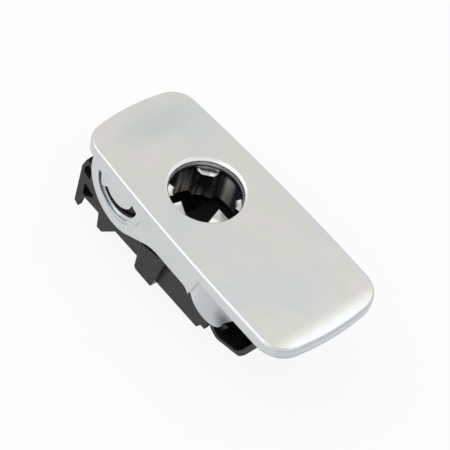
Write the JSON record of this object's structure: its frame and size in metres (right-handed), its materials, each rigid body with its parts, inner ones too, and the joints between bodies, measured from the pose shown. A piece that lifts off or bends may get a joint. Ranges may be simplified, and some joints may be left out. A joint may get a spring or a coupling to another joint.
{
  "type": "glove box latch",
  "caption": "Paddle handle latch with a round lock hole, side cheeks, a scooped pull end and a housing whose sprung bolt holds a striker.",
  "frame": {"origin": "on the lock hole's axis, where its straight wall starts below the rounded rim", "axes": "+Z out of the plate's face along the lock hole, +X towards the end that is pulled"},
  "size_m": [0.096, 0.0426, 0.0322],
  "materials": {
    "satin_chrome": "satin chrome plating on a moulding",
    "sleeve_chrome": "bright plating",
    "spring_steel": "drawn wire",
    "black_plastic": "satin moulded",
    "bolt_plastic": "black acetal, smooth",
    "grey_plastic": "moulded",
    "zinc_steel": "zinc plated",
    "black_rubber": "matt"
  },
  "bodies": {
    "housing": {"housing": "black_plastic", "pivot_bush_left": "grey_plastic", "pivot_bush_right": "grey_plastic", "return_spring_left": "spring_steel", "return_spring_right": "spring_steel", "rest_buffer_left": "black_rubber", "rest_buffer_right": "black_rubber", "bolt_spring": "spring_steel", "bolt_stop_buffer": "black_rubber", "striker_buffer": "black_rubber", "bottom_cover": "black_plastic", "cover_screws": "zinc_steel"},
    "handle": {"handle": "satin_chrome", "lock_sleeve": "sleeve_chrome", "sleeve_ring": "spring_steel", "inner_carrier": "black_plastic", "carrier_screws": "zinc_steel", "grip_liner": "black_plastic", "grip_screws": "zinc_steel", "end_buffer_left": "black_rubber", "end_buffer_right": "black_rubber"},
    "bolt": {"latch_bolt": "bolt_plastic"}
  },
  "joints": [
    {"name": "handle_swing", "type": "hinge", "parent": "housing", "child": "handle", "pos_m": [-0.0156, 0, -0.0042], "axis": [0, -1, 0], "range_deg": [0, 20], "stiffness_Nm_per_rad": 0.06, "springref_deg": -20.05, "deforming": ["return_spring_left", "return_spring_right"]},
    {"name": "bolt_slide", "type": "slide", "parent": "housing", "child": "bolt", "axis": [1, 0, 0], "range_m": [0, 0.0057], "stiffness_N_per_m": 250, "springref_m": -0.004, "deforming": ["bolt_spring"]}
  ],
  "couplings": [
    {"joint": "bolt_slide", "follows": "handle_swing", "m_per_rad": 0.0162}
  ]
}
